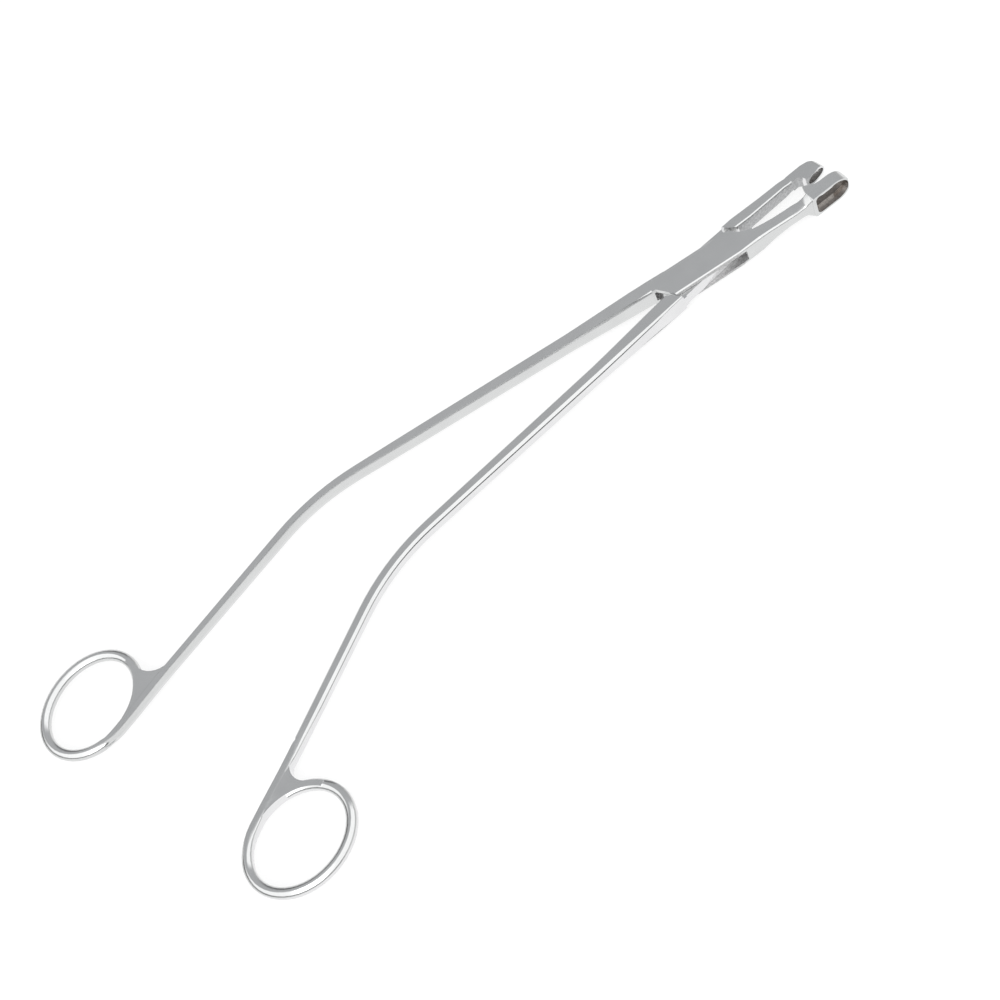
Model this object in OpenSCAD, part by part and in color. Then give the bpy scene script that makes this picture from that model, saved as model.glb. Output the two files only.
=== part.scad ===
// Biopsy forceps with a box lock, two offset ring handles, a fenestrated lower jaw and a
// cup-shaped upper jaw that bites into it. Millimetres. The pivot's axis is the Z axis, the
// underside of the lock's box is z = 0, and +X points to the jaws. The outer half (the box)
// lies on the +Y side of the handles, and the inner half (the tang) is drawn open.

/* [Box lock] */
// Width of the box across the lock
box_w = 9.8; // [9.4:0.1:11]
// Thickness of the box
box_t = 6.4; // [6:0.1:7.2]
// Thickness of each cheek of the box
cheek_t = 1.35; // [1.2:0.05:1.6]
// Length of the box behind the pivot, along its outer side
box_back = 16.2; // [15.8:0.1:17]
// Length of the box before the pivot
box_front = 18; // [17.6:0.1:19]
// Angle of the cheeks' rear ends to the handles' line, in degrees
shoulder_angle = 54; // [48:1:60]
// Radius of the cheeks' hollow front ends
front_r = 6.3; // [5.9:0.1:6.6]
// Diameter of the pivot pin
pin_d = 4; // [3:0.1:5]
// Width of the tang inside the box
tang_w = 8.4; // [7.8:0.1:8.8]

/* [Fits] */
// Radial running clearance of the pin in the tang
pin_gap = 0.04; // [0.02:0.01:0.08]
// Clearance of the tang under each cheek
tang_gap = 0.08; // [0.05:0.01:0.12]
// Clearance at the shoulders when the jaws are closed
shoulder_gap = 0.15; // [0.1:0.01:0.25]
// Clearance of the tang from the slot's end walls when closed
wall_gap = 0.3; // [0.2:0.05:0.5]
// Clearance of the upper jaw in the lower jaw's window
bite_gap = 0.3; // [0.2:0.05:0.45]

/* [Handles] */
// Angle by which the inner half is drawn open from closed, in degrees
open_angle = 9.6; // [0:0.1:20]
// Distance of each shank's line from the pivot
shank_offset = 2.4; // [2.2:0.05:2.7]
// Angle by which each shank leans out from the middle line, in degrees
shank_splay = 1.86; // [1.5:0.01:3]
// Width of a shank behind the box
shank_w = 4.6; // [4.2:0.1:5]
// Width of a shank at its bend
bend_w = 3.3; // [3:0.1:3.8]
// Width of a shank where it meets the ring
foot_w = 3; // [2.6:0.1:3.4]
// Height of a shank halfway to the bend
shank_t = 4.7; // [4.2:0.1:5.4]
// Height of a shank at its bend
bend_t = 4.2; // [3.8:0.1:4.8]
// Height of a shank where it meets the ring
foot_t = 3.5; // [3.4:0.05:4]
// Radius of the bends
bend_r = 72; // [50:1:90]
// Distance from the pivot to the outer half's bend
outer_bend_at = 130.7; // [110:0.1:150]
// Angle of the outer half's bend, in degrees
outer_bend = 22.8; // [15:0.1:28]
// Distance from the outer half's bend to its ring
outer_grip = 85.3; // [70:0.1:100]
// Distance from the pivot to the inner half's bend
inner_bend_at = 125; // [105:0.1:145]
// Angle of the inner half's bend, in degrees
inner_bend = 24.8; // [15:0.1:30]
// Distance from the inner half's bend to its ring
inner_grip = 81; // [66:0.1:96]

/* [Finger rings] */
// Length of a ring along its wire's middle line
ring_l = 32; // [29:0.1:36]
// Width of a ring along its wire's middle line
ring_w = 26.6; // [24:0.1:29]
// Thickness of the ring's wire
wire_t = 3.3; // [2.8:0.1:3.6]
// Inward lean of the outer half's ring, in degrees
outer_lean = 7; // [0:1:20]
// Inward lean of the inner half's ring, in degrees
inner_lean = 18; // [0:1:25]
// Radius of the fillet between the outer half's ring and shank
outer_crotch = 7; // [5:0.5:8]
// Radius of the fillet between the inner half's ring and shank
inner_crotch = 4.8; // [4:0.2:7]

/* [Jaws] */
// Distance from the pivot to the tip of the lower jaw
jaw_reach = 49.5; // [48.5:0.1:52]
// Width of the lower jaw's arm
low_arm_w = 4.2; // [3.8:0.1:4.5]
// Height of the lower jaw's arm
low_arm_t = 3.9; // [3.6:0.1:4.4]
// Width of the upper jaw's arm
up_arm_w = 3.4; // [3:0.1:3.6]
// Height of the upper jaw's arm
up_arm_t = 5; // [4.6:0.1:5.4]
// Length of the lower jaw's head
head_l = 13.6; // [13.2:0.1:14.4]
// Height of the lower jaw's head
head_t = 8; // [7.6:0.1:8.6]
// Width of the lower jaw's head
head_w = 4; // [3.7:0.1:4.3]
// How far the two horns of the lower jaw's head stand up beside the upper jaw
horn_h = 2.2; // [1.8:0.1:2.6]
// Height of the lower jaw's window
window_t = 4.8; // [4.5:0.1:5.2]
// Thickness of the window's cutting rim at the tip
window_rim = 1.2; // [1:0.1:1.4]
// Depth of the relief behind the cutting rim
relief_d = 2.1; // [1.6:0.1:2.6]
// Length of the window
window_l = 10.8; // [10.4:0.1:11.2]
// Lean of both jaws' heads, in degrees
head_lean = 6; // [4:0.5:7]
// Length of the upper jaw's cup
cup_l = 7.4; // [6.8:0.1:7.8]
// Wall of the upper jaw's cup
cup_wall = 0.5; // [0.4:0.05:0.7]
// Depth of the upper jaw's cup
cup_depth = 2.7; // [2.2:0.1:3]

/* [Hidden] */
steel = "#c3c5c6";
steel_b = "#b7b9bb";
mid_z = box_t / 2;
half_w = box_w / 2;
past = 1.2;
edge_in = 0.2;
edge_down = 0.85;
side_steps = 4;
first_t = 60;
bevel = 1.6;
round_share = 0.94;
arc_step = 7.5;
inner_y = 0.5;
trim = 0.1;

// Half of a section's corner: a bevel at the flat's edge, then a curve to the widest point
function corner(w, h, f, k) =
    let (free = 1 - 2 * f / w, c = bevel * f * free * free, d = c * free)
        concat(
            [[w / 2 - f - c, h / 2]],
            [
                for (i = [0:1:side_steps])
                    let (t = first_t * (1 - i / side_steps))
                        [w / 2 - 2 * f + 2 * f * cos(t), h / 2 - k + (k - d) * sin(t) / sin(first_t)]
            ]
        );

// A flat-topped bar's section: width, height, how far the flat stops short, corner depth
function section(w, h, f, k) =
    let (q = corner(w, h, f, k))
        concat(
            q,
            [for (i = [side_steps + 1:-1:0]) [q[i][0], -q[i][1]]],
            [for (p = q) [-p[0], -p[1]]],
            [for (i = [side_steps + 1:-1:0]) [-q[i][0], q[i][1]]]
        );

// A closed solid through stations of [x, y, direction, width, height, inset, corner depth]
module bar(stations) {
    n = 4 * (side_steps + 2);
    last = len(stations) - 1;
    points = [
        for (s = stations)
            for (p = section(s[3], s[4], s[5], s[6]))
                [s[0] - p[0] * sin(s[2]), s[1] + p[0] * cos(s[2]), mid_z + p[1]]
    ];
    walls = [
        for (i = [0:1:last - 1])
            for (j = [0:1:n - 1])
                let (a = i * n + j, b = i * n + (j + 1) % n)
                    each [[a, b, b + n], [a, b + n, a + n]]
    ];
    ends = [[for (j = [n - 1:-1:0]) j], [for (j = [0:1:n - 1]) last * n + j]];
    polyhedron(points = points, faces = concat(walls, ends));
}

// One station across X from its two side edges, for the box and the arms
function across(x, y1, y2, h, f = edge_in, k = edge_down) =
    [x, (y1 + y2) / 2, 0, y2 - y1, h, f, k];

function smooth(x) = let (c = min(max(x, 0), 1)) c * c * (3 - 2 * c);

// Handles: drawn along +X from the pivot with the ring on the +Y side
foot_in = 0.6;
foot_run = 22;
root_at = 10;
taper_end = 44;

// Width, height, flat's inset and corner depth of a shank, s from the pivot
function shank_size(s, bend_at, end) =
    let (
        w = lookup(s, [[box_back, shank_w], [taper_end, (shank_w + bend_w) / 2],
                       [bend_at, bend_w], [end, foot_w]]),
        h = lookup(s, [[box_back, box_t - trim], [taper_end, shank_t], [bend_at, bend_t],
                       [end, foot_t]]),
        m = smooth((s - box_back) / (taper_end - box_back))
    )
        [w, h, edge_in + 0.15 * m, edge_down + (round_share * h / 2 - edge_down) * m];

// The ring's middle line at angle t, about its centre, leaning by the angle lean
function ring_at(t, lean, g = 0) = [
    (ring_l / 2 + g) * cos(t) * cos(lean) - (ring_w / 2 + g) * sin(t) * sin(lean),
    (ring_l / 2 + g) * cos(t) * sin(lean) + (ring_w / 2 + g) * sin(t) * cos(lean)
];
function ring_dir(t, lean) = atan2(
    -ring_l * sin(t) * sin(lean) + ring_w * cos(t) * cos(lean),
    -ring_l * sin(t) * cos(lean) - ring_w * cos(t) * sin(lean)
);
// The angle at which the ring's line runs along the shank
function foot_angle(lean) = atan2(-ring_w * cos(lean), -ring_l * sin(lean));
function ring_centre(grip, lean) = [grip, -foot_in - ring_at(foot_angle(lean), lean)[1]];

// Stations of the straight shank and its bend, in the shank's own line
function shank_path(bend_at, bend, end) =
    let (
        turn = bend_r * tan(abs(bend) / 2),
        side = sign(bend),
        runs = [root_at, box_back, 22, 29, 36, taper_end, 60, 78, 96, bend_at - turn - 1],
        arcs = [0:1 / 9:1.001]
    )
        concat(
            [for (s = runs) concat([s, 0, 0], shank_size(s, bend_at, end))],
            [
                for (a = arcs)
                    let (t = a * bend, s = bend_at - turn + 2 * turn * a)
                        concat(
                            [bend_at - turn + bend_r * sin(abs(t)), side * bend_r * (1 - cos(t)), t],
                            shank_size(s, bend_at, end)
                        )
            ]
        );

// Stations of the grip and the ring, in the grip's line, from the bend's corner
function grip_path(bend_at, bend, grip, lean) =
    let (
        end = bend_at + grip,
        turn = bend_r * tan(abs(bend) / 2),
        foot = grip + ring_at(foot_angle(lean), lean)[0],
        centre = ring_centre(grip, lean),
        start = foot_angle(lean),
        run = foot - foot_run - turn,
        thin = [foot_w, foot_t, edge_in + 0.15, round_share * foot_t / 2],
        wire = [wire_t, wire_t, 0.39 * wire_t, round_share * wire_t / 2]
    )
        concat(
            [for (a = [0.33, 0.67, 1])
                concat([turn + run * a, 0, 0], shank_size(bend_at + turn + run * a, bend_at, end))],
            [for (a = [0.25, 0.5, 0.75])
                let (p = foot - foot_run * (1 - a))
                    concat([p, -foot_in * smooth(a), 0], shank_size(bend_at + p, bend_at, end))],
            [
                for (a = [0:arc_step:315])
                    let (q = ring_at(start + a, lean), m = smooth(a / 45))
                        concat(
                            [centre[0] + q[0], centre[1] + q[1], ring_dir(start + a, lean)],
                            thin + (wire - thin) * m
                        )
            ]
        );

// Moves stations from the grip's line into the shank's line
function from_bend(path, bend_at, bend) = [
    for (s = path)
        concat(
            [bend_at + s[0] * cos(bend) - s[1] * sin(bend), s[0] * sin(bend) + s[1] * cos(bend),
             s[2] + bend],
            [for (i = [3:1:6]) s[i]]
        )
];

// Web between the shank and its ring, with its fillet in the crotch
module web(bend_at, bend, grip, lean, crotch_r) {
    web_t = foot_t - 0.14;
    centre = ring_centre(grip, lean);
    foot = grip + ring_at(foot_angle(lean), lean)[0];
    translate([bend_at, 0, mid_z - web_t / 2])
        rotate([0, 0, bend])
            linear_extrude(web_t)
                difference() {
                    intersection() {
                        offset(r = -crotch_r, $fn = 32) offset(r = crotch_r, $fn = 32)
                            union() {
                                translate(centre) polygon([for (t = [0:6:354]) ring_at(t, lean, wire_t / 4)]);
                                translate([grip - 2 * foot_run, -foot_w / 4 - foot_in / 2])
                                    square([2 * foot_run, foot_w / 2 + foot_in / 2]);
                            }
                        translate([grip - foot_run - crotch_r, -foot_in])
                            square([foot - grip + foot_run + crotch_r - 3, ring_w / 2]);
                    }
                    translate(centre) polygon([for (t = [0:6:354]) ring_at(t, lean, -wire_t / 4)]);
                }
}

module handle(bend_at, bend, grip, lean, crotch_r) {
    rotate([0, 0, shank_splay])
        translate([0, shank_offset, 0]) {
            bar(concat(
                shank_path(bend_at, bend, bend_at + grip),
                from_bend(grip_path(bend_at, bend, grip, lean), bend_at, bend)
            ));
            web(bend_at, bend, grip, lean, crotch_r);
        }
}

// Everything behind the line of the cheeks' rear ends, on the inner half's side
module behind_cheeks(gap) {
    corner_x = -box_back + inner_y + 0.7;
    drop = half_w + inner_y + past;
    back = drop / tan(shoulder_angle);
    polygon([
        [corner_x - gap, inner_y + trim],
        [corner_x - gap + back, inner_y + trim - drop],
        [-2 * box_back, inner_y + trim - drop],
        [-2 * box_back, inner_y + trim]
    ]);
}

// Everything before the hollow of the cheeks' front ends, on the inner half's side
module before_cheeks(gap) {
    centre = [box_front + 0.4, inner_y + front_r];
    translate(centre) circle(r = front_r - gap, $fn = 96);
    translate([centre[0], inner_y + gap]) square([box_front, 2 * front_r]);
    translate([centre[0] - front_r + gap, centre[1]]) square([2 * box_front, front_r]);
}

// Outline of the tang in the closed pose
tang_side = tang_w / 2;
tang_lean = shank_splay + 1;
function tang_edge(x, side) = side * tang_side / cos(tang_lean) + x * tan(tang_lean);
tang_back = 11.9;
slot_front = 12.9;
flush_from = 4.5;
neck_at = 15.3;
neck_in = 1;
arm_in = 1.2;
neck_run = 3;
nick_back = 24.2;
nick_r = 0.75;

module tang_outline() {
    polygon([
        [-tang_back, tang_edge(-tang_back, 1)],
        [0, tang_edge(0, 1)],
        [flush_from, half_w + 0.1],
        [neck_at, half_w + 0.1],
        [box_front + neck_run, half_w - 0.1],
        [box_front + neck_run, arm_in],
        [neck_at, arm_in],
        [tang_back, tang_edge(tang_back, -1)],
        [-tang_back, tang_edge(-tang_back, -1)],
        [-box_back - neck_run, 0.4 - half_w],
        [-box_back - neck_run, -neck_in - 0.4],
        [-neck_at, -neck_in]
    ]);
}

// Slot through the box, between its two end walls
module slot() {
    out = half_w + past;
    wall_x = tang_back + wall_gap;
    translate([0, 0, cheek_t])
        linear_extrude(box_t - 2 * cheek_t)
            polygon([
                [-wall_x, out],
                [-wall_x, tang_edge(-tang_back, 1)],
                [-neck_at - wall_gap, neck_in],
                [-neck_at - wall_gap, -neck_in],
                [-2 * box_back, -neck_in],
                [-2 * box_back, -out],
                [slot_front, -out],
                [slot_front, tang_edge(slot_front, -1)],
                [neck_at + wall_gap, arm_in - wall_gap],
                [box_front + 1, arm_in - wall_gap],
                [box_front + 1, out]
            ]);
}

// Jaws
head_x = jaw_reach - head_l;
head_y = 0.1;
tip_run = 5.2;
horn_run = 4.4;
taper_from = 11;
soft_in = 0.3;
soft_down = 1.2;
arm_top = inner_y + 0.25;
arm_out = arm_top - low_arm_w;
collar_t = 1.2;
window_x = head_l - window_rim - window_l;
cup_x = head_x + head_l - window_rim - 0.7 - cup_l;
cup_y = -1.7;
cup_t = window_t - 2 * bite_gap;

// A bar's end view with straight sides and a rounded nose: length, height, nose length
module nose(l, h, run, back_r) {
    polygon(concat(
        [for (a = [-90:7.5:90]) [l - run + run * cos(a), h / 2 * sin(a)]],
        [for (a = [0:15:90]) [back_r - back_r * sin(a), h / 2 - back_r + back_r * cos(a)]],
        [for (a = [0:15:90]) [back_r - back_r * cos(a), back_r - h / 2 - back_r * sin(a)]]
    ));
}

// Stands a drawing of X and height upright, reaching from y1 to y2
module upright(x, y1, y2) {
    translate([x, y2, mid_z]) rotate([90, 0, 0]) linear_extrude(y2 - y1) children();
}

// Plan of the lower head: its horns stand up behind, its tip is rounded
module head_plan() {
    tip_r = 1.4;
    tip_x = head_l - tip_r;
    polygon(concat(
        [[-1, -head_w]],
        [for (a = [-90:15:90])
            [tip_x + tip_r * cos(a), (a < 0 ? tip_r - head_w : -tip_r) + tip_r * sin(a)]],
        [[horn_run + 1.6, 0], [horn_run, 0.3], [horn_run / 2, horn_h - 0.4], [horn_run / 2 - 0.5, horn_h],
         [horn_run / 2 - 0.9, horn_h - 0.2], [0.7, 0.2], [0.4, -0.8], [0, -2], [-1, -2]]
    ));
}

module lower_head() {
    translate([head_x, head_y, 0])
        rotate([0, 0, head_lean])
            difference() {
                intersection() {
                    upright(0, -head_w, horn_h) nose(head_l, head_t, tip_run, 1.2);
                    translate([0, 0, mid_z - head_t]) linear_extrude(2 * head_t) head_plan();
                }
                upright(window_x, -head_w - 1, 1) nose(window_l, window_t, tip_run - window_rim, 1.2);
                upright(window_x - 0.3, -head_w - 1, relief_d - head_w)
                    nose(window_l + 0.9, head_t - 1.2, tip_run - 0.6, 1.4);
                translate([-1, 0.5, mid_z - window_t / 2]) cube([window_x + window_l / 2, horn_h, window_t]);
            }
}

// The box and the lower jaw's arm in one bar, from the box's rear end to the collar
module box_and_arm() {
    bar([
        across(-box_back, -half_w, half_w, box_t),
        across(taper_from, -half_w, half_w, box_t),
        across(box_front, arm_out - 0.95, half_w, box_t - trim, soft_in, soft_down),
        across(box_front + 0.1, arm_out - 0.95, inner_y, box_t - trim, soft_in, soft_down),
        across(box_front + neck_run + 1, arm_out - 0.4, inner_y, low_arm_t + 1.2, soft_in, soft_down),
        across(box_front + 2 * neck_run + 1, arm_out - 0.2, inner_y + 0.05, low_arm_t + 0.5, soft_in, soft_down),
        across(head_x - 2.5 * neck_run, arm_out, arm_top, low_arm_t, soft_in, soft_down),
        across(head_x - 1.5 * neck_run, arm_out, arm_top, low_arm_t, soft_in, soft_down),
        across(head_x - 2.2, arm_out + 0.15, inner_y, low_arm_t + 0.3, soft_in, soft_down),
        across(head_x - collar_t, arm_out + 0.1, inner_y - 0.1, low_arm_t + 1, soft_in, soft_down),
        across(head_x - 0.2, arm_out - 0.2, head_y, head_t - 1.6, soft_in, soft_down),
        across(head_x + 0.6, head_y + 0.1 - head_w, head_y - 0.05, head_t - 0.6)
    ]);
}

module box_half() {
    color(steel)
        difference() {
            union() {
                mirror([1, 0, 0]) handle(outer_bend_at, -outer_bend, outer_grip, -outer_lean, outer_crotch);
                box_and_arm();
                lower_head();
            }
            translate([0, 0, -past]) linear_extrude(box_t + 2 * past) behind_cheeks(0);
            translate([0, 0, -past])
                linear_extrude(box_t + 2 * past)
                    intersection() {
                        before_cheeks(0);
                        square([box_front + 0.4, half_w + past]);
                    }
            slot();
            translate([0, 0, -past]) cylinder(h = box_t + 2 * past, d = pin_d, $fn = 64);
        }
}

module upper_head() {
    back = 3;
    translate([cup_x, cup_y, 0])
        rotate([0, 0, head_lean])
            difference() {
                intersection() {
                    upright(-back, 0, head_w + 2) nose(cup_l + back, cup_t, cup_t / 2 + 0.2, 0.6);
                    translate([0, 0, mid_z - cup_t])
                        linear_extrude(2 * cup_t)
                            polygon([
                                [0.6, 0], [cup_l, 0], [cup_l, 1.5], [cup_l - 0.6, 3.2],
                                [cup_l - 2.2, 4.4], [cup_l - 4.5, 5.2], [-back, 6],
                                [-back, arm_in - cup_y + 0.3], [-1, arm_in - cup_y + 0.1],
                                [0, 1.9], [0.2, 0.6]
                            ]);
                }
                translate([cup_l / 2 + 0.1, 0, mid_z])
                    scale([cup_l / 2 - cup_wall - 0.1, cup_depth, cup_t / 2 - cup_wall])
                        sphere(r = 1, $fn = 48);
            }
}

// Small nick in the inner half's grip, on the side away from its ring
module nick() {
    rotate([0, 0, 180 + shank_splay])
        translate([inner_bend_at, shank_offset, -past])
            rotate([0, 0, inner_bend])
                translate([inner_grip - nick_back, -foot_w / 2, 0])
                    cylinder(h = box_t + 2 * past, r = nick_r, $fn = 24);
}

module tang_half() {
    z1 = cheek_t + tang_gap;
    z2 = box_t - cheek_t - tang_gap;
    color(steel_b)
        rotate([0, 0, open_angle])
            difference() {
                union() {
                    difference() {
                        union() {
                            rotate([0, 0, 180])
                                handle(inner_bend_at, inner_bend, inner_grip, -inner_lean, inner_crotch);
                            bar([
                                across(taper_from, arm_in + 0.2, half_w + 0.1, box_t - trim),
                                across(box_front - 2, arm_in, half_w + 0.2, box_t - trim),
                                across(box_front + neck_run, arm_in, half_w + 0.2, up_arm_t + 0.2),
                                across(box_front + 3 * neck_run, arm_in, arm_in + up_arm_w + 0.1, up_arm_t),
                                across(cup_x - 2 * neck_run, arm_in, arm_in + up_arm_w - 0.2, up_arm_t - 0.2),
                                across(cup_x - neck_run - 1, arm_in, arm_in + up_arm_w - 0.3, cup_t - 0.1),
                                across(cup_x - 2, arm_in + 0.1, arm_in + up_arm_w - 0.35, cup_t - 0.1)
                            ]);
                        }
                        for (z = [z2, z1 - box_t])
                            translate([0, 0, z])
                                linear_extrude(box_t)
                                    difference() {
                                        translate([-box_back, -half_w - past])
                                            square([2 * box_back, box_w + 2 * past]);
                                        behind_cheeks(shoulder_gap);
                                        before_cheeks(shoulder_gap);
                                    }
                    }
                    translate([0, 0, z1]) linear_extrude(z2 - z1) tang_outline();
                    upper_head();
                }
                translate([0, 0, -past]) cylinder(h = box_t + 2 * past, d = pin_d + 2 * pin_gap, $fn = 64);
                nick();
            }
}

module pivot_pin() {
    color(steel) cylinder(h = box_t, d = pin_d, $fn = 64);
}

box_half();
tang_half();
pivot_pin();
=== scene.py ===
"""Biopsy forceps of satin stainless steel, lying open on a white table."""
import math

import bmesh
import bpy
from mathutils import Matrix, Vector


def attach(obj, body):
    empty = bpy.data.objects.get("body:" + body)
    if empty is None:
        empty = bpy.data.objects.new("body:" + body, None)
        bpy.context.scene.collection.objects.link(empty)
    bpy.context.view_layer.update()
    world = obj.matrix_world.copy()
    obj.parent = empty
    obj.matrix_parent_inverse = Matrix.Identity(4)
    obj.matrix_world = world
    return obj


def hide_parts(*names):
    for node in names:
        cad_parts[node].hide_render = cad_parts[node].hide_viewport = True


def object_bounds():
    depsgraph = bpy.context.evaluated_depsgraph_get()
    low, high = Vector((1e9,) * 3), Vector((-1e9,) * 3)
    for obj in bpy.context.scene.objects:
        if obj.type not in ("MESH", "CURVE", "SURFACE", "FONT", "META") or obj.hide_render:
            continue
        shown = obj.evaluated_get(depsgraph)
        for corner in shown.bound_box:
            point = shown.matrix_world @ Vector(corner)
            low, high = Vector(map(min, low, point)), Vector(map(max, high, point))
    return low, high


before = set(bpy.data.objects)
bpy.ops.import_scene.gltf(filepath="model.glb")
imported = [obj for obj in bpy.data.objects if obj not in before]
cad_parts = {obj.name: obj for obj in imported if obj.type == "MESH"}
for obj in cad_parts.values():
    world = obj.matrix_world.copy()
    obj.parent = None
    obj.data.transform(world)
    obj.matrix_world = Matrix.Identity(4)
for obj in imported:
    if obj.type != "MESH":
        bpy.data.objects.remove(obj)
cad_box = [list(corner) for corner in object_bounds()]

MM = 0.001
WHITE = (1, 1, 1, 1)
COLOUR_MIX = {"data_type": "RGBA"}
COLOUR_PRODUCT = {"data_type": "RGBA", "blend_type": "MULTIPLY"}
SOFT_STEP = {"interpolation_type": "SMOOTHSTEP"}


# Colour and node helpers

def linear(code):
    """An sRGB hex colour as linear RGBA."""
    parts = [int(code[i:i + 2], 16) / 255 for i in (1, 3, 5)]
    return [p / 12.92 if p <= 0.04045 else ((p + 0.055) / 1.055) ** 2.4 for p in parts] + [1.0]


def add_node(tree, kind, settings=None, **inputs):
    """One node, with its properties, its values and its links."""
    node = tree.nodes.new(kind)
    for key, value in (settings or {}).items():
        setattr(node, key, value)
    for key, value in inputs.items():
        by_number = key[0] == "i" and key[1:].isdigit()
        socket = node.inputs[int(key[1:]) if by_number else key.replace("_", " ")]
        if isinstance(value, bpy.types.NodeSocket):
            tree.links.new(value, socket)
        else:
            socket.default_value = value
    return node


def new_material(name):
    """An empty node material and its tree."""
    material = bpy.data.materials.new(name)
    material.use_nodes = True
    material.node_tree.nodes.clear()
    return material, material.node_tree


# Finishes, with the sizes of their patterns in millimetres

STREAK_LENGTH = 16
STREAK_WIDTH = 0.35
STREAK_DEPTH = 0.002
PATCH = 9
PIT = 0.6
PIT_DEPTH = 0.05
# A face whose normal rises less than the first is an upright side, which takes the painted side
# sheen, more than the second a flat
PAINTED_SHEEN_RISE = (0.3, 0.5)
# How much smoother and rougher than the steel's own roughness the streaks are
STREAK_SHINE = 0.04
STREAK_DULL = 0.05


def satin_steel(name, colour, side, rough, smudge):
    """Stainless steel ground fine along its length and satin polished: soft reflections,
    faint lengthwise streaks, and slightly darker patches where it has been handled. The
    upright sides get a colour of their own, a painted sheen where they catch more light than the
    flats."""
    material, tree = new_material(name)
    place = add_node(tree, "ShaderNodeTexCoord").outputs["Object"]
    # Streaks run along the forceps, drawn coarser than the real grit so that they show
    across = 1 / (STREAK_WIDTH * MM)
    along = add_node(tree, "ShaderNodeMapping", Vector=place,
                     Scale=(1 / (STREAK_LENGTH * MM), across, across))
    streaks = add_node(tree, "ShaderNodeTexNoise", Vector=along.outputs[0], Scale=1.0,
                       Detail=3.0, Roughness=0.6)
    patches = add_node(tree, "ShaderNodeTexNoise", Vector=place, Scale=1 / (PATCH * MM),
                       Detail=2.0, Roughness=0.5)
    tint = add_node(tree, "ShaderNodeMapRange", Value=patches.outputs["Fac"],
                    From_Min=0.3, From_Max=0.7, To_Min=1 - smudge, To_Max=1.0)
    # Painted sheen: upright sides take the side colour, flats the steel's own colour
    facing = add_node(tree, "ShaderNodeSeparateXYZ",
                      Vector=add_node(tree, "ShaderNodeTexCoord").outputs["Normal"])
    rise = add_node(tree, "ShaderNodeMath", {"operation": "ABSOLUTE"}, i0=facing.outputs["Z"])
    level = add_node(tree, "ShaderNodeMapRange", Value=rise.outputs[0],
                     From_Min=PAINTED_SHEEN_RISE[0], From_Max=PAINTED_SHEEN_RISE[1])
    sheen_tone = add_node(tree, "ShaderNodeMix", COLOUR_MIX, i0=level.outputs[0],
                    i6=linear(side), i7=linear(colour))
    base = add_node(tree, "ShaderNodeMix", COLOUR_PRODUCT, i0=1.0, i6=sheen_tone.outputs[2],
                    i7=tint.outputs[0])
    dull = add_node(tree, "ShaderNodeMapRange", Value=streaks.outputs["Fac"],
                    From_Min=0.25, From_Max=0.75, To_Min=rough - STREAK_SHINE,
                    To_Max=rough + STREAK_DULL)
    bump = add_node(tree, "ShaderNodeBump", Height=streaks.outputs["Fac"], Strength=0.25,
                    Distance=STREAK_DEPTH * MM)
    shader = add_node(tree, "ShaderNodeBsdfPrincipled", Base_Color=base.outputs[2],
                      Metallic=1.0, Roughness=dull.outputs[0], Normal=bump.outputs[0])
    add_node(tree, "ShaderNodeOutputMaterial", Surface=shader.outputs[0])
    return material


def cut_steel(name, colour, rough):
    """Steel inside the jaws and the lock: milled or ground and left matt, with fine pits. The
    colours given to it for the jaws' insides and the joint are darker than the steel outside,
    painted shade for those recesses and gaps; the lock's is about the steel's own."""
    material, tree = new_material(name)
    place = add_node(tree, "ShaderNodeTexCoord").outputs["Object"]
    pits = add_node(tree, "ShaderNodeTexNoise", Vector=place, Scale=1 / (PIT * MM),
                    Detail=3.0, Roughness=0.6)
    tint = add_node(tree, "ShaderNodeMapRange", Value=pits.outputs["Fac"],
                    From_Min=0.3, From_Max=0.7, To_Min=0.7, To_Max=1.1)
    base = add_node(tree, "ShaderNodeMix", COLOUR_PRODUCT, i0=1.0, i6=linear(colour),
                    i7=tint.outputs[0])
    bump = add_node(tree, "ShaderNodeBump", Height=pits.outputs["Fac"], Strength=0.3,
                    Distance=PIT_DEPTH * MM)
    shader = add_node(tree, "ShaderNodeBsdfPrincipled", Base_Color=base.outputs[2],
                      Metallic=1.0, Roughness=rough, Normal=bump.outputs[0])
    add_node(tree, "ShaderNodeOutputMaterial", Surface=shader.outputs[0])
    return material


# The side colours paint a sheen on the upright sides: lighter than the steel on the inner half,
# next to the steel's own colour on the outer half and the pin
OUTER_FINISH = satin_steel("satin_steel_outer", "#dcdddd", side="#dddede", rough=0.18, smudge=0.05)
INNER_FINISH = satin_steel("satin_steel_inner_painted_side_sheen", "#dadbdb", side="#ededee", rough=0.16, smudge=0.05)
PIN_FINISH = satin_steel("satin_steel_pin", "#dcdddd", side="#dddede", rough=0.18, smudge=0.05)
# The relief's and the window's colours are painted shade: darker and browner than the steel, with
# the window's inside darkest
RELIEF_PAINTED_SHADE = cut_steel("milled_steel_relief_painted_shade", "#a39d98", rough=0.34)
WINDOW_PAINTED_SHADE = cut_steel("milled_steel_window_painted_shade", "#86807b", rough=0.38)
# The cup's walls are painted shade, and its floor, which faces up, a paler painted shade
CUP_PAINTED_SHADE = cut_steel("milled_steel_cup_painted_shade", "#8f8d8b", rough=0.36)
CUP_FLOOR_PAINTED_PALER_SHADE = cut_steel("cup_floor_milled_steel_painted_paler_shade", "#c2c1c0", rough=0.34)
LOCK_FINISH = cut_steel("ground_steel_lock", "#dedede", rough=0.50)
# The joint's colour is painted shade, a little darker than the steel, for the gap under the cheeks
# and at the shoulder
JOINT_PAINTED_SHADE = cut_steel("steel_joint_painted_shade", "#cccccc", rough=0.55)
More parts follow.
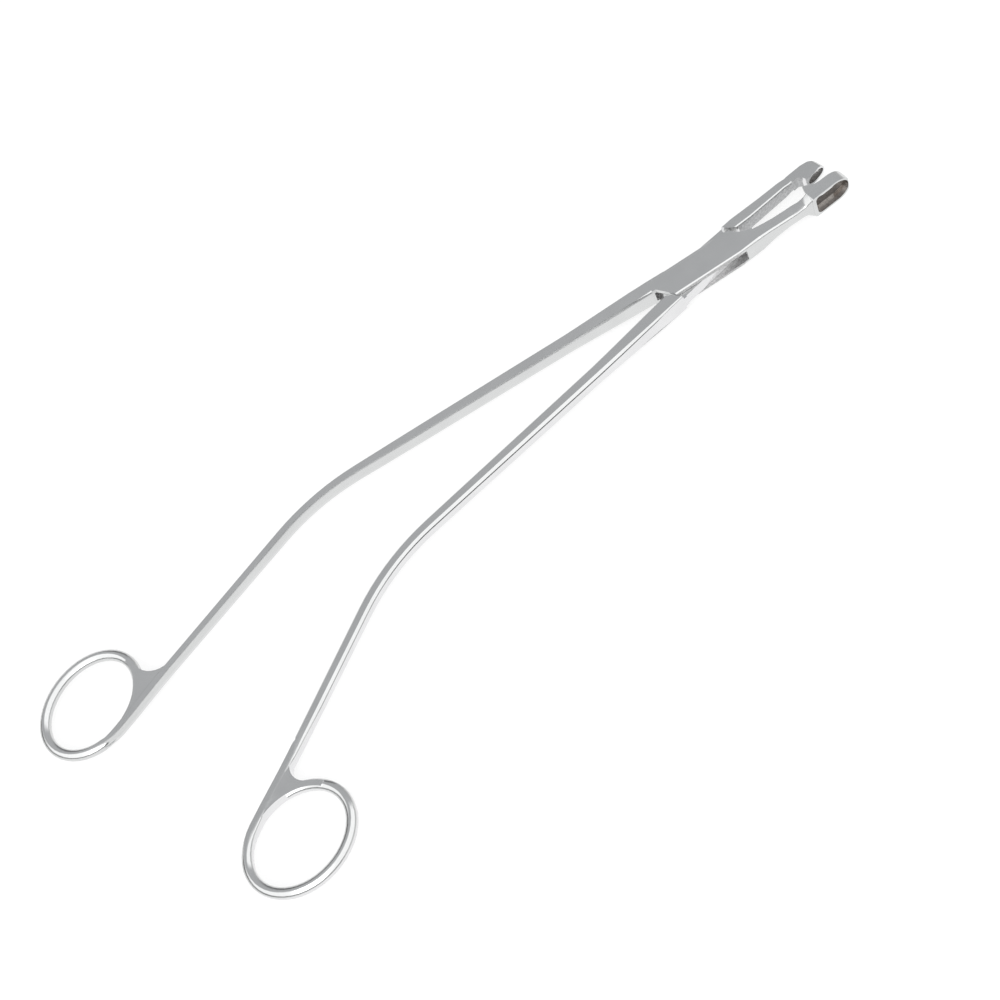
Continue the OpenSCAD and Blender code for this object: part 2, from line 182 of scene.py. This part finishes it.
# The arm's near side is matt, and its colour is painted shade, darker than the inner half's sides
ARM_SIDE_PAINTED_SHADE = cut_steel("ground_steel_arm_painted_shade", "#c0c1c2", rough=0.40)

# Each half's finishes, and the places that have them in the same order
OUTER_FINISHES = (OUTER_FINISH, RELIEF_PAINTED_SHADE, WINDOW_PAINTED_SHADE, LOCK_FINISH, JOINT_PAINTED_SHADE)
OUTSIDE, RELIEF, WINDOW, SLOT, CHEEK_SIDE = range(5)
INNER_FINISHES = (INNER_FINISH, CUP_PAINTED_SHADE, CUP_FLOOR_PAINTED_PALER_SHADE, JOINT_PAINTED_SHADE, ARM_SIDE_PAINTED_SHADE)
CUP, CUP_FLOOR, SHOULDER, ARM_SIDE = range(1, 5)


# Places on the forceps in millimetres, from the pivot: the jaws are at +X, the shanks at -X

# The height that every bar is centred on
MID = 3.2
# Turns the inner half from its drawn place to its closed one
TO_CLOSED = Matrix.Rotation(math.radians(-9.6), 3, "Z")
COLLAR_X = (30, 37)
SHANK_FROM = 17
WEB_FROM = 176
# The inner half's broad bevel begins and ends here, and grows and fades over these lengths
BROAD_FROM = 12
BROAD_GROWS = 4
BROAD_TO = 180
BROAD_FADES = 8
# The outer half's crisp edge turns into a slanted side from here, over this length
SLANT_FROM = -95
SLANT_GROWS = 40

# The lock's slot, and the cheeks' sides along it
LOCK_END = 18.5
SLOT_HALF = 1.9
SLOT_Y = -4.7
CHEEK_X = (-15, 13)
CHEEK_UP = (1.8, 2.7)
CHEEK_Y = -4.5

# The lower jaw's head, leaning inward: its inside, its window and the relief before it
HEAD_LEAN = Matrix.Rotation(math.radians(-6), 3, "Z")
HEAD_AT = Vector((35.9, 0.1, MID))
HEAD_X = (1.2, 13.2)
HEAD_MIDDLE = 7
HEAD_HALF = 3.6
RELIEF_HALF = 3.4
RELIEF_Y = -2.5
WINDOW_Y = -1.9

# The upper jaw's cup, in the closed place, and the shoulder and the arm behind it
CUP_AT = Vector((40.2, -1.7, MID))
CUP_X = (0.4, 7.1)
CUP_Y = (-0.05, 2.8)
CUP_HALF = 1.7
CUP_MIDDLE = Vector((3.8, 0.4, 0))
SHOULDER_X = (13, 20)
ARM_X = (16.5, 43.5)

# Parts of a face's normal along an axis, past which it counts as turned that way
SQUARE = 0.9
CHEEK_TURN = 0.85
FLOOR_TURN = 0.25
SHOULDER_TURN = 0.2
ARM_TURN = 0.35
ARM_BEVEL = 0.55


def within(value, span):
    return span[0] < value < span[1]


def in_outer(place, normal):
    """The place of the outer half that a face belongs to."""
    height = abs(place.z - MID)
    if abs(place.x) < LOCK_END and height < SLOT_HALF and place.y > SLOT_Y and normal.y > -SQUARE:
        return SLOT
    # The cheeks' near sides along the slot take the joint's painted shade
    beside = within(place.x, CHEEK_X) and within(height, CHEEK_UP) and place.y < CHEEK_Y
    if beside and normal.y < -CHEEK_TURN:
        return CHEEK_SIDE
    here = HEAD_LEAN @ (place - HEAD_AT)
    way = HEAD_LEAN @ normal
    inward = way.z * here.z + way.x * (here.x - HEAD_MIDDLE) < 0
    if not (within(here.x, HEAD_X) and inward and abs(here.z) < HEAD_HALF and way.y < SQUARE):
        return OUTSIDE
    # The relief and the window's near part take one painted shade, the window's deeper inside a
    # darker one
    if way.y < -SQUARE:
        return RELIEF if here.y > RELIEF_Y and abs(here.z) < RELIEF_HALF else OUTSIDE
    return WINDOW if here.y > WINDOW_Y else RELIEF


def in_inner(place, normal):
    """The place of the inner half that a face belongs to."""
    spot = TO_CLOSED @ place
    facing = TO_CLOSED @ normal
    here = HEAD_LEAN @ (spot - CUP_AT)
    way = HEAD_LEAN @ facing
    inward = way.dot(here - CUP_MIDDLE) < 0
    # The cup's walls take painted shade, and its upward floor a paler painted shade
    if within(here.x, CUP_X) and abs(here.z) < CUP_HALF and within(here.y, CUP_Y) and inward:
        return CUP_FLOOR if way.z > FLOOR_TURN else CUP
    # The shoulder takes the joint's painted shade
    if within(spot.x, SHOULDER_X) and facing.x < -SHOULDER_TURN and abs(facing.z) < SQUARE:
        return SHOULDER
    # The arm's near side takes painted shade
    if within(spot.x, ARM_X) and facing.y < -ARM_TURN and abs(facing.z) < ARM_BEVEL:
        return ARM_SIDE
    return OUTSIDE


# Shading: edges that turn by less than these angles are shaded round

SMOOTH_BELOW = math.radians(30)
COLLAR_SOFT = math.radians(50)
WEB_SOFT = math.radians(60)
SHANK_SOFT = math.radians(8)


def outer_softness(place):
    """Rounder at the lower jaw's collar, which is drawn in with a soft hollow."""
    return COLLAR_SOFT if within(place.x, COLLAR_X) else SMOOTH_BELOW


def inner_softness(place):
    """Crisp facets along the shank, which runs into the ring's web without an edge."""
    along = -(TO_CLOSED @ place).x
    if along > WEB_FROM:
        return WEB_SOFT
    return SHANK_SOFT if along > SHANK_FROM else SMOOTH_BELOW


# The shanks' edges. Side points go from the flat's edge down, how far out and how far down,
# as shares of the flat's inset from the shank's widest line

# A broad bevel, with a narrow facet and an upright side under it
BROAD_SIDE = ((0.0, 0.0), (0.92, 0.99), (1.16, 1.39), (1.16, 1.65), (1.16, 1.85))
# A side that slants from the flat's edge out to the widest line, steeper as it goes
SLANTED_SIDE = ((0.0, 0.0), (0.20, 0.39), (0.39, 0.89), (0.60, 1.43), (0.83, 2.09))
CRISP_TILT = math.radians(66)
# The solids' own sections: the slope of the bevel, its longest run and that of the steps under
# it, the least step, the share of the side's curve that its first step takes, and how level
# the flats are
BEVEL_TILT = (math.radians(28), math.radians(52))
BEVEL_RUN = 0.8 * MM
STEP_RUN = 0.4 * MM
LEAST_STEP = 0.05 * MM
CURVE_SHARE = 0.414
FLAT_Z = 0.998


def between(first, second, share):
    """Side points part of the way from the first list to the second."""
    part = min(max(share, 0.0), 1.0)
    return [(a[0] + (b[0] - a[0]) * part, a[1] + (b[1] - a[1]) * part)
            for a, b in zip(first, second)]


def outer_side(place, now):
    """Crisp edges along the straight shank, and slanted sides along the grip."""
    out, down = now[1]
    crisp = [(max(out - down / math.tan(CRISP_TILT), 0.0), 0.0)] + now[1:]
    return between(crisp, SLANTED_SIDE, (SLANT_FROM - place.x) / SLANT_GROWS)


def inner_side(place, now):
    """Broad bevels from the lock to the web, but never higher than the side's own points."""
    broad = [(out, max(down, own[1]) if out > 1 else down)
             for (out, down), own in zip(BROAD_SIDE, now)]
    along = -(TO_CLOSED @ place).x
    grown = (along - BROAD_FROM) / BROAD_GROWS
    left = (BROAD_TO - along) / BROAD_FADES
    return between(now, broad, min(grown, left))


def side_step(vert, most_run):
    """The next point down a shank's side in the same cross-section, if there is one."""
    for edge in vert.link_edges:
        low = edge.other_vert(vert)
        down = abs(vert.co.z - MID * MM) - abs(low.co.z - MID * MM)
        if down > LEAST_STEP and (low.co - vert.co).xy.length < most_run:
            return low
    return None


def bevel_sections(bm):
    """Each cross-section's flat edge and bevel foot along the shanks, and the bevel's run."""
    for top in bm.verts:
        flat = any(abs(face.normal.z) > FLAT_Z for face in top.link_faces)
        low = side_step(top, BEVEL_RUN) if flat and top.co.x < -SHANK_FROM * MM else None
        if low:
            run = (top.co - low.co).xy.length
            tilt = math.atan2(abs(top.co.z - low.co.z), run)
            if run > LEAST_STEP and within(tilt, BEVEL_TILT):
                yield top, low, run


def reprofile(bm, side):
    """Gives the shanks' edges the shape that side() tells for each cross-section."""
    moves = []
    for top, low, run in bevel_sections(bm):
        chain = [top, low]
        while len(chain) < len(BROAD_SIDE) and side_step(chain[-1], STEP_RUN):
            chain.append(side_step(chain[-1], STEP_RUN))
        if len(chain) < len(BROAD_SIDE):
            continue
        out = (low.co.xy - top.co.xy) / run
        inset = run + (chain[2].co.xy - low.co.xy).length / CURVE_SHARE
        up = math.copysign(1, top.co.z - MID * MM)
        now = [((vert.co.xy - top.co.xy).dot(out) / inset, abs(top.co.z - vert.co.z) / inset)
               for vert in chain]
        for vert, (away, down) in zip(chain, side(top.co / MM, now)):
            moves.append((vert, top.co.xy + out * inset * away, top.co.z - up * inset * down))
    for vert, place, height in moves:
        vert.co.xy = place
        vert.co.z = height


# Steel pieces: the solids' own form, merged, with its corners and curves smoothed

MERGE = 0.002 * MM


def dressed(node, name, body, finishes, inside=None, side=None, softness=None):
    """A smooth-shaded piece in the place of a node of the frame. inside() gives the finish of
    each face, side() the shape of the shank's edges, and softness() how far round edges go."""
    mesh = bpy.data.meshes.new(name)
    bm = bmesh.new()
    bm.from_mesh(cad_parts[node].data)
    bmesh.ops.remove_doubles(bm, verts=bm.verts, dist=MERGE)
    bmesh.ops.dissolve_degenerate(bm, edges=bm.edges, dist=MERGE)
    bm.normal_update()
    if side:
        reprofile(bm, side)
        bm.normal_update()
    for face in bm.faces:
        face.smooth = True
        face.material_index = OUTSIDE
        if inside:
            face.material_index = inside(face.calc_center_median() / MM, face.normal)
    for edge in bm.edges:
        middle = (edge.verts[0].co + edge.verts[1].co) / (2 * MM)
        limit = softness(middle) if softness else SMOOTH_BELOW
        edge.smooth = len(edge.link_faces) == 2 and edge.calc_face_angle(math.pi) < limit
    bm.to_mesh(mesh)
    bm.free()
    for finish in finishes:
        mesh.materials.append(finish)
    piece = bpy.data.objects.new(name, mesh)
    bpy.context.scene.collection.objects.link(piece)
    even = piece.modifiers.new("even_shading", "WEIGHTED_NORMAL")
    even.keep_sharp = True
    even.mode = "FACE_AREA"
    even.weight = 80
    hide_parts(node)
    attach(piece, body)


dressed("box_half", "outer_half_steel", "box_half", OUTER_FINISHES,
        in_outer, outer_side, outer_softness)
dressed("tang_half", "inner_half_steel", "tang_half", INNER_FINISHES,
        in_inner, inner_side, inner_softness)
dressed("pivot_pin", "pivot_pin_steel", "box_half", (PIN_FINISH,))


# Table, light and camera

TABLE_GREY = "#a0a0a0"
TABLE_GLOW = 0.70
TABLE_HALF = 3.0


def table(low):
    """A white table top: white to the eye and in the steel, and it keeps a faint shadow."""
    mesh = bpy.data.meshes.new("table_top")
    signs = ((-1, -1), (1, -1), (1, 1), (-1, 1))
    corners = [(x * TABLE_HALF, y * TABLE_HALF, low) for x, y in signs]
    mesh.from_pydata(corners, [], [(0, 1, 2, 3)])
    top = bpy.data.objects.new("table_top", mesh)
    bpy.context.scene.collection.objects.link(top)
    material, tree = new_material("white_table")
    seen = add_node(tree, "ShaderNodeLightPath")
    glossy = add_node(tree, "ShaderNodeMath", {"operation": "MAXIMUM"},
                      i0=seen.outputs["Is Glossy Ray"], i1=seen.outputs["Is Transmission Ray"])
    matt = add_node(tree, "ShaderNodeBsdfDiffuse", Color=linear(TABLE_GREY))
    glow = add_node(tree, "ShaderNodeEmission", Color=WHITE, Strength=TABLE_GLOW)
    lit = add_node(tree, "ShaderNodeAddShader", i0=matt.outputs[0], i1=glow.outputs[0])
    by_eye = add_node(tree, "ShaderNodeMixShader", Fac=seen.outputs["Is Camera Ray"],
                      i1=matt.outputs[0], i2=lit.outputs[0])
    white = add_node(tree, "ShaderNodeEmission", Color=WHITE, Strength=1.0)
    both = add_node(tree, "ShaderNodeMixShader", Fac=glossy.outputs[0],
                    i1=by_eye.outputs[0], i2=white.outputs[0])
    add_node(tree, "ShaderNodeOutputMaterial", Surface=both.outputs[0])
    mesh.materials.append(material)


NEAR_WALL = (1.34, 1.34, 1.34, 1)
FAR_WALL = (0.53, 0.535, 0.545, 1)
OVERHEAD = (0.82, 0.82, 0.83, 1)
SKIRT = (0.16, 0.16, 0.16, 1)
PALE_SKIRT = (0.55, 0.55, 0.55, 1)
# How far round or up each part of the room gives way to the next, as a direction's share
FAR_Y = (0.24, 0.44)
FAR_X = (-0.66, -0.48)
OVERHEAD_Z = (0.95, 0.98)
PALE_X = (0.42, 0.75)
SKIRT_Z = (0.18, 0.38)


def room():
    """A white studio: pale on the near side, greyer on the far side and straight overhead,
    with a dark line along the table's edge, and white to the eye."""
    world = bpy.data.worlds.new("white_room")
    bpy.context.scene.world = world
    world.use_nodes = True
    tree = world.node_tree
    tree.nodes.clear()
    way = add_node(tree, "ShaderNodeTexCoord").outputs["Generated"]
    parts = add_node(tree, "ShaderNodeSeparateXYZ", Vector=way)
    steps = (("Y", FAR_Y), ("X", FAR_X), ("Z", OVERHEAD_Z), ("X", PALE_X), ("Z", SKIRT_Z))
    far, middle, above, fade, rise = [
        add_node(tree, "ShaderNodeMapRange", SOFT_STEP, Value=parts.outputs[axis],
                 From_Min=span[0], From_Max=span[1]).outputs[0] for axis, span in steps]
    screen = add_node(tree, "ShaderNodeMath", {"operation": "MULTIPLY"}, i0=far, i1=middle)
    sides = add_node(tree, "ShaderNodeMix", COLOUR_MIX, i0=screen.outputs[0],
                     i6=NEAR_WALL, i7=FAR_WALL)
    wall = add_node(tree, "ShaderNodeMix", COLOUR_MIX, i0=above, i6=sides.outputs[2],
                    i7=OVERHEAD)
    line = add_node(tree, "ShaderNodeMix", COLOUR_MIX, i0=fade, i6=SKIRT, i7=PALE_SKIRT)
    skirt = add_node(tree, "ShaderNodeMix", COLOUR_MIX, i0=rise, i6=line.outputs[2],
                     i7=wall.outputs[2])
    seen = add_node(tree, "ShaderNodeLightPath")
    to_eye = add_node(tree, "ShaderNodeMix", COLOUR_MIX, i0=seen.outputs["Is Camera Ray"],
                      i6=skirt.outputs[2], i7=WHITE)
    glow = add_node(tree, "ShaderNodeBackground", Color=to_eye.outputs[2], Strength=1.0)
    add_node(tree, "ShaderNodeOutputWorld", Surface=glow.outputs[0])


def soft_lamp(name, place, aim, size, watts):
    """A square soft box aimed at a point."""
    data = bpy.data.lights.new(name, "AREA")
    data.shape = "SQUARE"
    data.size = size
    data.energy = watts
    lamp = bpy.data.objects.new(name, data)
    bpy.context.scene.collection.objects.link(lamp)
    lamp.location = place
    lamp.rotation_euler = (Vector(aim) - Vector(place)).to_track_quat("-Z", "Y").to_euler()


# The camera stands over the near side and is turned about its own line of sight
CAMERA_AT = Vector((-99.889, -348.179, 458.725)) * MM
AIM = Vector((-86.051, -27.275, 0.0)) * MM
ROLL = math.radians(31)
SENSOR_MM = 36.0
FOCAL_PX = 1982.4
FRAME_PX = 1000


def camera():
    """The photo's viewpoint, with the focal length told in pixels of its frame."""
    data = bpy.data.cameras.new("camera")
    data.sensor_width = SENSOR_MM
    data.sensor_fit = "HORIZONTAL"
    data.lens = FOCAL_PX * SENSOR_MM / FRAME_PX
    data.clip_start = 0.01
    data.clip_end = 20.0
    eye = bpy.data.objects.new("camera", data)
    bpy.context.scene.collection.objects.link(eye)
    back = (CAMERA_AT - AIM).normalized()
    level = Vector((0, 0, 1)).cross(back).normalized()
    up = back.cross(level)
    across = math.cos(ROLL) * level - math.sin(ROLL) * up
    top = math.sin(ROLL) * level + math.cos(ROLL) * up
    turn = Matrix((across, top, back)).transposed().to_4x4()
    eye.matrix_world = Matrix.Translation(CAMERA_AT) @ turn
    bpy.context.scene.camera = eye


table(cad_box[0][2])
room()
soft_lamp("key_lamp", place=(-0.45, -0.95, 0.85), aim=(-0.08, -0.02, 0), size=0.9, watts=4.0)
camera()
bpy.context.scene.view_settings.view_transform = "Standard"
